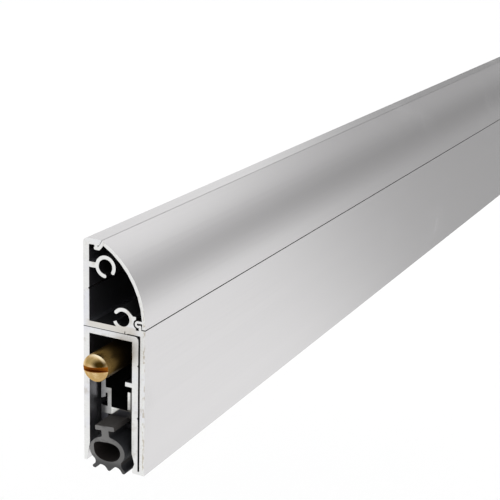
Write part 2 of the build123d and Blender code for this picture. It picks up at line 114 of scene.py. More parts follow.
def remap(tree, value, low, high, newLow=0.0, newHigh=1.0, smooth=False):
    limits = {"From Min": low, "From Max": high, "To Min": newLow, "To Max": newHigh}
    kind = "SMOOTHSTEP" if smooth else "LINEAR"
    node = addNode(tree, "ShaderNodeMapRange", {"Value": value, **limits}, interpolation_type=kind)
    return node.outputs["Result"]


def smoothStep(tree, value, low, high, newLow=0.0, newHigh=1.0):
    return remap(tree, value, low, high, newLow, newHigh, smooth=True)


def within(tree, value, low, high, soft=0.02 * mm):
    # 1 between low and high, 0 outside
    above = remap(tree, value, low - soft, low + soft)
    below = remap(tree, value, high - soft, high + soft, 1.0, 0.0)
    return times(tree, above, below)


def split(tree, vector):
    return addNode(tree, "ShaderNodeSeparateXYZ", {0: vector}).outputs


def xyz(tree, x, y, z):
    return made(tree, "ShaderNodeCombineXYZ", {0: x, 1: y, 2: z})


def noise(tree, spot, scale, detail=2.0, roughness=0.5):
    # a scale of three numbers stretches the pattern
    if isinstance(scale, tuple):
        inputs = {0: spot, 1: scale}
        spot = addNode(tree, "ShaderNodeVectorMath", inputs, operation="MULTIPLY").outputs[0]
        scale = 1.0
    inputs = {"Vector": spot, "Scale": scale, "Detail": detail, "Roughness": roughness}
    return addNode(tree, "ShaderNodeTexNoise", inputs).outputs["Fac"]


# camera

cameraSet = {
    "lens": 90.14,
    "place": (-0.553846, -0.164865, 0.102279),
    "right": (0.44078, -0.89699, 0.03340),
    "down": (-0.25052, -0.15867, -0.95502),
    "forward": (0.86195, 0.41259, -0.29466),
}


def addCamera(values):
    data = bpy.data.cameras.new("camera")
    data.lens = values["lens"]
    data.sensor_width = 36.0
    data.clip_start = 0.01
    data.clip_end = 60.0
    axes = (values["right"], -Vector(values["down"]), -Vector(values["forward"]))
    turn = Matrix(axes).transposed().to_quaternion().to_matrix().to_4x4()
    camera = bpy.data.objects.new("camera", data)
    camera.matrix_world = Matrix.Translation(values["place"]) @ turn
    bpy.context.scene.collection.objects.link(camera)
    bpy.context.scene.camera = camera


# studio: a white floor well below the bar, and a soft sky that is dim past the far end
# angles run round the bar in degrees, from 0 in front over 90 above to 180 behind
# the other limits say how far towards the far end a direction points, with 1 along the bar

studioSet = {
    "floorDrop": 0.32,
    "floorSize": 40.0,
    "floorColour": (0.96, 0.96, 0.96, 1),
    "skyStrength": 1.12,
    "endFrom": 0.861,
    "endTo": 0.908,
    "endLevel": 0.38,
    "endLean": 0.010,
    "endShift": 0.016,  # above and behind, the dimming starts further round
    "shiftFrom": 70.0,
    "shiftTo": 140.0,
    "behindFrom": 100.0,
    "behindTo": 140.0,
    "behindLevel": 0.87,
    "lowFrom": 154.0,  # the horizon behind and past the far end is dark
    "lowFull": 166.0,
    "lowFade": 220.0,
    "lowTo": 240.0,
    "lowStart": 0.91,
    "lowEnd": 0.96,
    "bandAngle": 26.0,  # the middle of a dim band along the front
    "bandHalf": 52.0,
    "bandDepth": 0.41,
    "bandFrom": 0.45,
    "bandTo": 0.75,
    "bandFade": 0.5,
}


def skyLevel(tree, values):
    x, y, z = split(tree, addNode(tree, "ShaderNodeTexCoord").outputs["Generated"])
    around = calc(tree, "DEGREES", calc(tree, "ARCTAN2", z, times(tree, y, -1.0)))

    shift = smoothStep(tree, around, values["shiftFrom"], values["shiftTo"])
    shift = times(tree, shift, values["endShift"])
    leaning = minus(tree, calc(tree, "MULTIPLY_ADD", z, values["endLean"], x), shift)
    farEnd = smoothStep(tree, leaning, values["endFrom"], values["endTo"], 1.0, values["endLevel"])

    off = calc(tree, "ABSOLUTE", minus(tree, around, values["bandAngle"]))
    band = smoothStep(tree, off, 0.0, values["bandHalf"], values["bandDepth"], 0.0)
    starts = smoothStep(tree, x, values["bandFrom"], values["bandTo"])
    fades = smoothStep(tree, x, values["endFrom"], values["endTo"], 1.0, values["bandFade"])
    band = times(tree, band, starts, fades)

    behindFrom, behindTo = values["behindFrom"], values["behindTo"]
    behind = smoothStep(tree, around, behindFrom, behindTo, 1.0, values["behindLevel"])
    fullTurn = calc(tree, "MODULO", plus(tree, around, 360.0), 360.0)
    low = smoothStep(tree, fullTurn, values["lowFrom"], values["lowFull"])
    low = times(tree, low, smoothStep(tree, fullTurn, values["lowTo"], values["lowFade"]))
    low = times(tree, low, smoothStep(tree, x, values["lowStart"], values["lowEnd"]))

    return times(tree, farEnd, minus(tree, 1.0, band), behind, minus(tree, 1.0, low))


def addStudio(values):
    scene = bpy.context.scene
    scene.view_settings.view_transform = "Standard"
    world = bpy.data.worlds.new("studioSky")
    scene.world = world
    world.use_nodes = True
    tree = world.node_tree
    tree.nodes.clear()
    direct = addNode(tree, "ShaderNodeLightPath").outputs["Is Camera Ray"]
    level = larger(tree, skyLevel(tree, values), direct)  # the backdrop itself stays white
    strength = times(tree, level, values["skyStrength"])
    back = made(tree, "ShaderNodeBackground", {"Color": (1, 1, 1, 1), "Strength": strength})
    addNode(tree, "ShaderNodeOutputWorld", {"Surface": back})

    mesh = bpy.data.meshes.new("studioFloor")
    half = values["floorSize"] / 2
    depth = cadBox[0].z - values["floorDrop"]
    corners = [(x * half, y * half, depth) for x, y in ((-1, -1), (1, -1), (1, 1), (-1, 1))]
    mesh.from_pydata(corners, [], [(0, 1, 2, 3)])
    floor = bpy.data.objects.new("studioFloor", mesh)
    scene.collection.objects.link(floor)
    paint = newMaterial("studioWhite", {"Base Color": values["floorColour"], "Roughness": 0.9})[0]
    mesh.materials.append(paint)
    floor.visible_glossy = False


# materials

def newMaterial(name, values):
    material = bpy.data.materials.new(name)
    material.use_nodes = True
    tree = material.node_tree
    shader = tree.nodes["Principled BSDF"]
    for key, value in values.items():
        shader.inputs[key].default_value = value
    return material, tree, shader


def place(tree):
    return addNode(tree, "ShaderNodeTexCoord").outputs["Object"]


def mixColour(tree, factor, a, b):
    node = addNode(tree, "ShaderNodeMix", {"Factor": factor}, data_type="RGBA")
    for key, value in (("A", a), ("B", b)):
        if isinstance(value, bpy.types.NodeSocket):
            tree.links.new(value, node.inputs[key])
        else:
            node.inputs[key].default_value = (*value, 1.0)
    return node.outputs["Result"]


def brighter(colour, factor):
    return tuple(factor * part for part in colour)


# a pattern is the scale, detail and roughness of a noise
# a scattered mark grows from none to its share between two limits of its pattern

def markShare(tree, spot, mark):
    return remap(tree, noise(tree, spot, *mark["pattern"]), *mark["limits"], 0.0, mark["share"])


def addMark(tree, spot, colour, mark):
    return mixColour(tree, markShare(tree, spot, mark), colour, mark["colour"])


def lay(tree, shader, colour, roughness, height, depth, strength):
    inputs = {"Height": height, "Distance": depth, "Strength": strength}
    normal = made(tree, "ShaderNodeBump", inputs)
    for key, value in (("Base Color", colour), ("Roughness", roughness), ("Normal", normal)):
        tree.links.new(value, shader.inputs[key])


aluminiumSet = {
    "skin": (0.632, 0.622, 0.627),
    "skinPale": (0.655, 0.645, 0.650),
    "dieLines": ((2.0, 1600.0, 1600.0), 3.0, 0.6),
    "broad": ((1.2, 160.0, 160.0), 2.0, 0.5),
    "dieLinesShare": 0.6,
    "handled": {  # faint marks where it was held
        "pattern": (30.0, 4.0, 0.6), "limits": (0.62, 0.8),
        "share": 0.35, "colour": (0.58, 0.58, 0.577),
    },
    "handledDull": {"pattern": (30.0, 4.0, 0.6), "limits": (0.55, 0.8), "share": 0.05},
    # painted shade: the insides get a dark colour for the shade that falls in them
    "inside": (0.17, 0.17, 0.18),
    "insideBackLit": (0.42, 0.42, 0.45),  # painted light: the back wall's inner side is painted paler than the shaded insides
    "insideBackLitFrom": -3.0 * mm,
    # painted light: the walls of the gap under the flange are painted pale so its shade hardly
    # shows
    "seamLightened": (0.97, 0.97, 0.97),
    "grain": (5200.0, 2.0, 0.6),
    "roughness": (0.20, 0.27),
    "rawRoughness": 0.16,  # more on the cuts and inside
    "relief": 0.004 * mm,
    "reliefStrength": 0.6,
    "sawRelief": 5.0,
    "halfLength": 305 * mm,
    "sawLines": ((1.0, 900.0, 5200.0), 2.0, 0.6),
    "sawLimits": (0.35, 0.75),
    "cut": (0.80, 0.80, 0.79),
    "cutDull": (0.69, 0.69, 0.68),
    "cutDullShare": 0.7,
    # painted sheen: pale bluish clouds on the saw cuts
    "sheenClouds": {
        "pattern": ((1.0, 110.0, 150.0), 2.0, 0.5), "limits": (0.48, 0.66),
        "share": 0.5, "colour": (0.69, 0.70, 0.78),
    },
    "stains": {
        "pattern": ((1.0, 420.0, 300.0), 3.0, 0.65), "limits": (0.57, 0.72),
        "share": 0.7, "colour": (0.56, 0.53, 0.48),
    },
    "chips": {
        "pattern": ((1.0, 1500.0, 900.0), 2.0, 0.7), "limits": (0.50, 0.60),
        "share": 0.8, "colour": (0.50, 0.45, 0.37),
    },
    "chipsTo": -17.45 * mm,
    "worn": (0.62, 0.58, 0.51),  # a tarnished stretch along the chamber's floor
    "wornShare": 0.6,
    "wornLow": -10.1 * mm,
    "wornHigh": -8.2 * mm,
    "wornBack": -1.0 * mm,
    "wornFront": -15.5 * mm,
    "jointShadow": (0.05, 0.05, 0.055),  # a painted shadow line in the joint between the profile and the housing
    "jointLevel": -10.25 * mm,
    "jointHalf": 0.10 * mm,
    "jointTo": -16.1 * mm,
}


def sawnEnd(tree, spot, y, z, sawLines, values):
    # the bright saw cut, with clouds of painted sheen, stains, small chips along the front and a
    # painted shadow line in the joint
    dull = remap(tree, sawLines, *values["sawLimits"], 0.0, values["cutDullShare"])
    cut = mixColour(tree, dull, values["cut"], values["cutDull"])
    cut = addMark(tree, spot, cut, values["sheenClouds"])
    cut = addMark(tree, spot, cut, values["stains"])

    wornTall = within(tree, z, values["wornLow"], values["wornHigh"], 0.15 * mm)
    wornDeep = within(tree, y, values["wornFront"], values["wornBack"], 0.8 * mm)
    cut = mixColour(tree, times(tree, wornTall, wornDeep, values["wornShare"]), cut, values["worn"])

    edge = remap(tree, y, values["chipsTo"], values["chipsTo"] + 0.1 * mm, 1.0, 0.0)
    chips = times(tree, edge, markShare(tree, spot, values["chips"]))
    cut = mixColour(tree, chips, cut, values["chips"]["colour"])

    # painted shadow: a dark line in the joint
    level, half = values["jointLevel"], values["jointHalf"]
    joint = within(tree, z, level - half, level + half)
    joint = times(tree, joint, remap(tree, y, values["jointTo"], values["jointTo"] + 0.1 * mm))
    return mixColour(tree, joint, cut, values["jointShadow"])


def aluminium(name, insideMask, values, sawn=sawnEnd):
    # drawn aluminium, satin anodised: die lines along the bar, sawn ends, rougher insides darkened
    # with painted shade
    material, tree, shader = newMaterial(name, {"Metallic": 1.0})
    spot = place(tree)
    x, y, z = split(tree, spot)
    toEnd = minus(tree, calc(tree, "ABSOLUTE", x), values["halfLength"])
    end = remap(tree, toEnd, -0.06 * mm, -0.02 * mm)
    inside = insideMask(tree, y, z)

    dieLines = noise(tree, spot, *values["dieLines"])
    broad = noise(tree, spot, *values["broad"])
    share = values["dieLinesShare"]
    tone = plus(tree, times(tree, dieLines, share), times(tree, broad, 1.0 - share))
    skin = mixColour(tree, remap(tree, tone, 0.3, 0.7), values["skin"], values["skinPale"])
    skin = addMark(tree, spot, skin, values["handled"])
    sawLines = noise(tree, spot, *values["sawLines"])
    cut = sawn(tree, spot, y, z, sawLines, values)

    # painted shade on the insides, painted lighter on the back wall's inner side
    insideShade = mixColour(tree, dieLines, values["inside"], brighter(values["inside"], 1.25))
    behind = remap(tree, y, values["insideBackLitFrom"], values["insideBackLitFrom"] + 0.2 * mm)
    insideShade = mixColour(tree, behind, insideShade, values["insideBackLit"])
    colour = mixColour(tree, inside, skin, insideShade)
    # painted light on the walls of the gap between the flange and the cover
    colour = mixColour(tree, seamWalls(tree, y, z), colour, values["seamLightened"])
    colour = mixColour(tree, end, colour, cut)

    grain = noise(tree, spot, *values["grain"])
    rough = remap(tree, grain, 0.2, 0.8, *values["roughness"])
    rough = plus(tree, rough, markShare(tree, spot, values["handledDull"]))
    rough = plus(tree, rough, times(tree, larger(tree, inside, end), values["rawRoughness"]))
    height = plus(tree, times(tree, dieLines, 0.55), times(tree, grain, 0.45))
    height = plus(tree, height, times(tree, sawLines, end, values["sawRelief"]))
    lay(tree, shader, colour, rough, height, values["relief"], values["reliefStrength"])
    return material


# where each section's faces count as its inside

sectionSet = {
    "backWall": -1.66 * mm,  # just in front of the back wall's inner side
    "profileFront": -16.62 * mm,
    "housingFront": -14.33 * mm,
    "housingTop": -11.86 * mm,
    "chamberTop": 10.0 * mm,
    "coverAxis": (5.056 * mm, -7.6 * mm),  # the cover's outer skin lies on one large circle
    "coverInner": 22.70 * mm,
    "seamOuter": 22.95 * mm,
    "seamDeep": (-5.9 * mm, -4.4 * mm),
    "seamTall": (11.0 * mm, 12.95 * mm),
}


def fromCoverAxis(tree, y, z):
    axisY, axisZ = sectionSet["coverAxis"]
    return distance(tree, minus(tree, y, axisY), minus(tree, z, axisZ))


def seamWalls(tree, y, z):
    # the walls of the narrow gap between the top flange and the cover, painted pale as painted
    # light
    walls = within(tree, y, *sectionSet["seamDeep"])
    walls = times(tree, walls, within(tree, z, *sectionSet["seamTall"]))
    outer = sectionSet["seamOuter"]
    under = remap(tree, fromCoverAxis(tree, y, z), outer, outer + 0.05 * mm, 1.0, 0.0)
    return times(tree, walls, under)


def belowTop(tree, z):
    return remap(tree, z, sectionSet["chamberTop"], sectionSet["chamberTop"] + 0.1 * mm, 1.0, 0.0)


def profileInside(tree, y, z):
    across = within(tree, y, sectionSet["profileFront"], sectionSet["backWall"])
    return times(tree, across, belowTop(tree, z))


def housingInside(tree, y, z):
    across = within(tree, y, sectionSet["housingFront"], sectionSet["backWall"])
    top = sectionSet["housingTop"]
    return times(tree, across, remap(tree, z, top, top + 0.04 * mm, 1.0, 0.0))


def coverInside(tree, y, z):
    inner = sectionSet["coverInner"]
    under = remap(tree, fromCoverAxis(tree, y, z), inner, inner + 0.1 * mm, 1.0, 0.0)
    return times(tree, belowTop(tree, z), under)


def nowhere(tree, y, z):
    return times(tree, y, 0.0)


dropBarSet = dict(
    aluminiumSet,
    skin=(0.36, 0.36, 0.36),
    skinPale=(0.42, 0.42, 0.42),
    roughness=(0.19, 0.26),
    halfLength=300.7 * mm,
    # the cut tones here carry painted light and shade: cut is the painted highlight, cutShade and
    # cutDull are painted shade
    cut=(0.97, 0.97, 0.94),
    cutMiddle=(0.50, 0.50, 0.49),
    cutShade=(0.13, 0.13, 0.13),
    cutDull=(0.075, 0.075, 0.085),
    sawShare=0.2,
    # rim: a painted glint along the front edge of the floor
    rim=(0.24, 0.22, 0.18),
    rimGlintShare=0.6,
    grease={
        "pattern": ((1.0, 500.0, 380.0), 3.0, 0.6), "limits": (0.54, 0.70),
        "share": 0.35, "colour": (0.24, 0.22, 0.18),
    },
    # where the painted highlight on the floor starts
    highlightCorner=(-5.5 * mm, -35.2 * mm),
    highlightSlope=0.86,
    floorLevel=-32.8 * mm,
    footLevel=-34.9 * mm,
    backFrom=-4.5 * mm,
    backTo=-3.2 * mm,
    backHigh=-31.0 * mm,
    frontWall=-10.3 * mm,
    frontShade=-11.2 * mm,
    litShare=0.8,
    soft=0.15 * mm,
)


def carrierEnd(tree, spot, y, z, sawLines, values):
    # mill finish, with a painted highlight on one corner of the floor, painted shade below it and
    # at the back, painted light and shade on the front wall, and greasy marks
    soft, floor = values["soft"], values["floorLevel"]
    # painted shade towards the back
    behind = smoothStep(tree, y, values["backFrom"], values["backTo"])
    behind = times(tree, behind, smoothStep(tree, z, values["backHigh"], floor))
    cut = mixColour(tree, behind, values["cutMiddle"], values["cutShade"])

    # a painted highlight on one corner of the floor, with painted shade under it and at the foot
    cornerY, cornerZ = values["highlightCorner"]
    across = minus(tree, cornerY, y)
    up = minus(tree, minus(tree, z, cornerZ), times(tree, across, values["highlightSlope"]))
    onFloor = remap(tree, z, floor, floor + soft, 1.0, 0.0)
    inFront = remap(tree, across, -soft, soft)
    highlight = times(tree, remap(tree, up, -soft, soft), inFront, onFloor)
    under = times(tree, remap(tree, up, -soft, soft, 1.0, 0.0), inFront)
    foot = smoothStep(tree, z, values["footLevel"], values["footLevel"] - 3 * soft)
    cut = mixColour(tree, times(tree, larger(tree, under, foot), onFloor), cut, values["cutDull"])
    # a painted glint along the floor's front edge
    rim = times(tree, inFront, remap(tree, z, floor - 4 * soft, floor - 2 * soft))
    cut = mixColour(tree, times(tree, rim, values["rimGlintShare"]), cut, values["rim"])
    cut = mixColour(tree, highlight, cut, values["cut"])

    # painted light on the front wall, painted shade past it
    wall = minus(tree, 1.0, onFloor)
    frontWall, frontShade = values["frontWall"], values["frontShade"]
    lit = times(tree, wall, smoothStep(tree, y, frontWall + soft, frontWall - soft))
    shaded = times(tree, wall, smoothStep(tree, y, frontShade + soft, frontShade - soft))
    cut = mixColour(tree, times(tree, lit, values["litShare"]), cut, values["cut"])
    cut = mixColour(tree, shaded, cut, values["cutShade"])
    lines = remap(tree, sawLines, *values["sawLimits"], 0.0, values["sawShare"])
    cut = mixColour(tree, lines, cut, values["cutShade"])
    return addMark(tree, spot, cut, values["grease"])


rubberSet = {
    "gloss": {"Specular IOR Level": 0.22, "Sheen Weight": 0.03, "Sheen Roughness": 0.6},
    "dieLines": ((6.0, 700.0, 700.0), 3.0, 0.55),
    "speck": (2600.0, 3.0, 0.7),
    "roughness": (0.52, 0.7),
    "relief": 0.03 * mm,
    "reliefStrength": 0.5,
    "colour": (0.040, 0.036, 0.034),
    # painted shade: the lower sides are painted darker
    "side": (0.016, 0.017, 0.020),
    "sideShadeFrom": -36.5 * mm,
    "sideShadeTo": -38.5 * mm,
    "dust": {
        "pattern": (240.0, 4.0, 0.65), "limits": (0.55, 0.8),
        "share": 0.35, "colour": (0.085, 0.080, 0.074),
    },
    "endAt": 305.3 * mm,
    "cut": (0.160, 0.157, 0.155),
    "cutDull": (0.046, 0.046, 0.047),
    "torn": {"pattern": ((200.0, 520.0, 520.0), 3.0, 0.6), "limits": (0.52, 0.70), "share": 0.7},
    "dullFrom": -7.0 * mm,
    "dullTo": -12.5 * mm,
    "dullShare": 0.35,
    "lowFrom": -43.8 * mm,
    "lowTo": -46.8 * mm,
    "lowShare": 0.90,
    # painted shade inside the seal's hollow
    "hollow": (0.016, 0.012, 0.011),
    "hollowHalf": 4.1 * mm,
    "hollowLow": -45.9 * mm,
    "hollowHigh": -40.1 * mm,
}


def rubber(values):
    material, tree, shader = newMaterial("greyRubber", values["gloss"])
    spot = place(tree)
    x, y, z = split(tree, spot)
    dieLines = noise(tree, spot, *values["dieLines"])
    speck = noise(tree, spot, *values["speck"])
    pale = remap(tree, dieLines, 0.3, 0.7)
    colour = mixColour(tree, pale, values["colour"], brighter(values["colour"], 1.2))
    colour = addMark(tree, spot, colour, values["dust"])
    # painted shade on the lower sides
    lowerShade = smoothStep(tree, z, values["sideShadeFrom"], values["sideShadeTo"])
    colour = mixColour(tree, lowerShade, colour, values["side"])
    # painted shade in the hollow
    half = values["hollowHalf"]
    hollowShade = within(tree, y, middleY - half, middleY + half)
    hollowShade = times(tree, hollowShade, within(tree, z, values["hollowLow"], values["hollowHigh"]))
    colour = mixColour(tree, hollowShade, colour, values["hollow"])

    # the cut ends, paler than the sides and torn in places
    side = smoothStep(tree, y, values["dullFrom"], values["dullTo"], 0.0, values["dullShare"])
    foot = smoothStep(tree, z, values["lowFrom"], values["lowTo"], 0.0, values["lowShare"])
    dull = larger(tree, side, foot, markShare(tree, spot, values["torn"]))
    cut = mixColour(tree, dull, values["cut"], values["cutDull"])
    end = remap(tree, calc(tree, "ABSOLUTE", x), values["endAt"], values["endAt"] + 0.1 * mm)
    facing = split(tree, addNode(tree, "ShaderNodeNewGeometry").outputs["True Normal"])[0]
    end = times(tree, end, remap(tree, calc(tree, "ABSOLUTE", facing), 0.5, 0.7))
    colour = mixColour(tree, end, colour, cut)

    rough = remap(tree, speck, 0.25, 0.75, *values["roughness"])
    height = plus(tree, times(tree, dieLines, 0.6), times(tree, speck, 0.5))
    lay(tree, shader, colour, rough, height, values["relief"], values["reliefStrength"])
    return material


brassSet = {
    "fixed": {"Metallic": 1.0, "Specular Tint": (0.92, 0.78, 0.56, 1)},
    "toolMarks": 9000.0,
    "cloud": (420.0, 3.0, 0.6),
    "roughness": (0.20, 0.34),
    "slotRoughness": 0.25,  # more in the slot and down the barrel
    "barrelRoughness": 0.3,
    "relief": 0.002 * mm,
    "reliefStrength": 0.4,
    "colour": (0.42, 0.265, 0.095),
    "pale": (0.72, 0.53, 0.29),
    # painted highlights: a crescent at the top of the face and a bright rim at one side
    "brassHighlight": (0.88, 0.76, 0.53),
    # a painted dark reflection on the upper face: olive round it, shade in its middle
    "olive": (0.33, 0.235, 0.080),
    "shade": (0.040, 0.022, 0.003),
    "shadeY": -1.7 * mm,  # from the axis
    "shadeZ": 1.45 * mm,
    "shadeReach": 2.7 * mm,
    "crescentFrom": 2.95 * mm,
    "crescentTurn": (1.3, 2.3),  # radians round the axis, from the back upwards
    "rimHighlightFrom": 2.1 * mm,
    "rimHighlightTo": 3.5 * mm,
    "rimHighlightShare": 0.7,
    "oliveFrom": 0.8 * mm,
    "oliveTo": 1.6 * mm,
    "oliveShare": 0.75,
    # painted shade: the barrel is painted dark, darker still deeper in
    "barrel": (0.190, 0.118, 0.038),
    "barrelDeep": (0.045, 0.028, 0.010),
    "barrelHighlight": (0.70, 0.62, 0.50),  # a painted highlight: a bright reflection line low on the barrel
    "barrelHighlightTurn": (-2.70, -2.15),
    "rimX": -311.9 * mm,
    "barrelShadeReach": 9.0 * mm,
    "slot": (0.30, 0.095, 0.008),
    "slotHalf": 0.66 * mm,
    "slotFloor": -311.85 * mm,
    "slotTurn": slotTurn,
}


def brass(values):
    # turned brass: a bright domed face with a tarnished slot, painted highlights round its rim, a
    # painted dark reflection on its upper part, and a barrel painted dark as shade
    material, tree, shader = newMaterial("turnedBrass", values["fixed"])
    spot = place(tree)
    x, y, z = split(tree, spot)
    dy, dz = minus(tree, y, middleY), minus(tree, z, rodZ)
    out = distance(tree, dy, dz)
    turn = calc(tree, "ARCTAN2", dz, dy)
    rings = noise(tree, xyz(tree, x, out, 0.0), values["toolMarks"], 2.0, 0.6)
    cloud = noise(tree, spot, *values["cloud"])

    ringShare = remap(tree, rings, 0.35, 0.65, 0.0, 0.4)
    face = mixColour(tree, ringShare, values["colour"], values["pale"])
    face = mixColour(tree, remap(tree, cloud, 0.46, 0.64, 0.0, 0.8), face, values["pale"])
    crescent = values["crescentFrom"]
    # painted dark reflection on the upper part of the face
    upper = smoothStep(tree, out, crescent - 0.5 * mm, crescent + 0.3 * mm, 1.0, 0.0)
    upper = times(tree, upper, smoothStep(tree, dz, values["oliveFrom"], values["oliveTo"]))
    face = mixColour(tree, times(tree, upper, values["oliveShare"]), face, values["olive"])
    aboveShade = times(tree, minus(tree, dz, values["shadeZ"]), 1.5)
    fromShade = distance(tree, minus(tree, dy, values["shadeY"]), aboveShade)
    shade = smoothStep(tree, fromShade, 0.7 * mm, values["shadeReach"], 1.0, 0.0)
    face = mixColour(tree, shade, face, values["shade"])
    # painted highlights on the crescent and the rim
    edge = smoothStep(tree, out, crescent, crescent + 0.5 * mm)
    edge = times(tree, edge, within(tree, turn, *values["crescentTurn"], 0.3))
    rimHighlight = smoothStep(tree, dy, values["rimHighlightFrom"], values["rimHighlightTo"])
    rimHighlight = times(tree, rimHighlight, values["rimHighlightShare"])
    face = mixColour(tree, larger(tree, edge, rimHighlight), face, values["brassHighlight"])

    rim = values["rimX"]
    # painted shade, growing deeper in
    deep = smoothStep(tree, x, rim, rim + values["barrelShadeReach"])
    barrel = mixColour(tree, deep, values["barrel"], values["barrelDeep"])
    barrel = mixColour(tree, remap(tree, rings, 0.4, 0.7, 0.0, 0.35), barrel, values["barrelDeep"])
    # painted highlight along the barrel's lower side
    line = within(tree, turn, *values["barrelHighlightTurn"], 0.08)
    line = times(tree, line, minus(tree, 1.0, deep))
    barrel = mixColour(tree, line, barrel, values["barrelHighlight"])
    colour = mixColour(tree, remap(tree, x, rim, rim + 0.15 * mm), face, barrel)

    fromSlot = calc(tree, "MULTIPLY_ADD", dy, math.tan(values["slotTurn"]), dz)
    inSlot = within(tree, fromSlot, -values["slotHalf"], values["slotHalf"])
    floor = values["slotFloor"]
    inSlot = times(tree, inSlot, remap(tree, x, floor, floor + 0.02 * mm, 1.0, 0.0))
    colour = mixColour(tree, inSlot, colour, values["slot"])
    rough = remap(tree, cloud, 0.3, 0.8, *values["roughness"])
    rough = plus(tree, rough, times(tree, inSlot, values["slotRoughness"]))
    rough = plus(tree, rough, times(tree, deep, values["barrelRoughness"]))
    lay(tree, shader, colour, rough, rings, values["relief"], values["reliefStrength"])
    return material


# finishes of one colour, with patterns for its tone, its roughness and its fine relief

zincSet = {
    "name": "zincSteel",
    "fixed": {"Metallic": 1.0},
    "dark": (0.50, 0.51, 0.53),
    "light": (0.62, 0.62, 0.60),
    "tone": (700.0, 3.0, 0.6),
    "wear": (700.0, 3.0, 0.6),
    "fine": ((1500.0, 5000.0, 5000.0), 2.0, 0.5),
    "roughness": (0.26, 0.40),
    "relief": 0.006 * mm,
    "reliefStrength": 0.5,
}
springSteelSet = {
    "name": "springSteel",
    "fixed": {"Metallic": 1.0},
    "dark": (0.30, 0.30, 0.31),
    "light": (0.42, 0.42, 0.42),
    "tone": (900.0, 3.0, 0.6),
    "wear": (900.0, 3.0, 0.6),
    "fine": (900.0, 3.0, 0.6),
    "roughness": (0.24, 0.42),
    "relief": 0.01 * mm,
    "reliefStrength": 0.3,
}
nylonSet = {
    "name": "blackNylon",
    "fixed": {"Specular IOR Level": 0.4},
    "dark": (0.020, 0.020, 0.021),
    "light": (0.036, 0.036, 0.037),
    "tone": (160.0, 3.0, 0.5),
    "wear": (3000.0, 3.0, 0.65),
    "fine": (3000.0, 3.0, 0.65),
    "roughness": (0.40, 0.58),
    "relief": 0.02 * mm,
    "reliefStrength": 0.5,
}


def plainFinish(values):
    material, tree, shader = newMaterial(values["name"], values["fixed"])
    spot = place(tree)
    tone = remap(tree, noise(tree, spot, *values["tone"]), 0.35, 0.7)
    colour = mixColour(tree, tone, values["dark"], values["light"])
    rough = remap(tree, noise(tree, spot, *values["wear"]), 0.3, 0.7, *values["roughness"])
    fine = noise(tree, spot, *values["fine"])
    lay(tree, shader, colour, rough, fine, values["relief"], values["reliefStrength"])
    return material


# geometry trees

def newTree(name, sizes):
    tree = bpy.data.node_groups.new(name, "GeometryNodeTree")
    tree.interface.new_socket("Geometry", in_out="INPUT", socket_type="NodeSocketGeometry")
    for label, value in sizes.items():
        kind = "NodeSocketInt" if isinstance(value, int) else "NodeSocketFloat"
        tree.interface.new_socket(label, in_out="INPUT", socket_type=kind).default_value = value
    tree.interface.new_socket("Geometry", in_out="OUTPUT", socket_type="NodeSocketGeometry")
    return tree, addNode(tree, "NodeGroupInput").outputs


def closeTree(tree, shape, paint):
    whole = made(tree, "GeometryNodeRealizeInstances", {"Geometry": shape})
    painted = made(tree, "GeometryNodeSetMaterial", {"Geometry": whole, "Material": paint})
    addNode(tree, "NodeGroupOutput", {"Geometry": painted})


def joined(tree, *shapes):
    node = addNode(tree, "GeometryNodeJoinGeometry")
    for shape in shapes:
        tree.links.new(shape, node.inputs[0])
    return node.outputs[0]


def moved(tree, shape, x, y, z, rotation=(0, 0, 0)):
    inputs = {"Geometry": shape, "Translation": xyz(tree, x, y, z), "Rotation": rotation}
    return made(tree, "GeometryNodeTransform", inputs)


def placed(tree, shape, x, y, z):
    inputs = {"Geometry": shape, "Position": xyz(tree, x, y, z)}
    return made(tree, "GeometryNodeSetPosition", inputs)


def merged(tree, shape, reach):
    return made(tree, "GeometryNodeMergeByDistance", {"Geometry": shape, "Distance": reach})


def finishedMesh(name, base, tree, sizes, sharpAngle):
    # runs the tree on the base data and keeps the result as a plain mesh
    holder = bpy.data.objects.new(name + "Base", base)
    bpy.context.scene.collection.objects.link(holder)
    modifier = holder.modifiers.new("shape", "NODES")
    modifier.node_group = tree
    for item in tree.interface.items_tree:
        if item.in_out == "INPUT" and item.name in sizes:
            modifier[item.identifier] = sizes[item.name]
    return keepMesh(name, plainMesh(holder), sharpAngle)


def plainMesh(holder):
    graph = bpy.context.evaluated_depsgraph_get()
    mesh = bpy.data.meshes.new_from_object(holder.evaluated_get(graph), depsgraph=graph)
    bpy.data.objects.remove(holder)
    return mesh


def keepMesh(name, mesh, sharpAngle):
    mesh.name = name
    mesh.shade_smooth()
    mesh.set_sharp_from_angle(angle=math.radians(sharpAngle))
    piece = bpy.data.objects.new(name, mesh)
    bpy.context.scene.collection.objects.link(piece)
    print("door seal:", name, len(mesh.polygons), "faces")
    return piece


def turnOutwards(mesh):
    work = bmesh.new()
    work.from_mesh(mesh)
    bmesh.ops.remove_doubles(work, verts=work.verts, dist=0.001 * mm)
    bmesh.ops.recalc_face_normals(work, faces=work.faces)
    work.to_mesh(mesh)
    work.free()


# seal strip: its section swept along the bar, a little uneven as drawn rubber is

sealSet = {
    "Near end": -307.5 * mm,
    "Far end": 306.0 * mm,
    "Slant": 1.5 * mm,  # how far the near end's cut leans out at the foot
    "Slant reach": 20.0 * mm,
    "Head level": 12.8 * mm,  # levels count up from the front leg's foot
    "Held level": 9.0 * mm,
    "Bulb level": 5.3 * mm,
    "Flank level": 4.0 * mm,
    "Tip level": -0.6 * mm,
    "Middle": middleY,
    "Foot level": footZ,
    "Unevenness": 0.10 * mm,
    "Waves": 26.0,
    "Tilt of head": 0.042,
    "Tilt of fins": 0.030,
    "Roll of head": 0.100,
    "Roll of fins": 0.030,
    "Roll reach": 14.0 * mm,
    "Steps": 150,
}


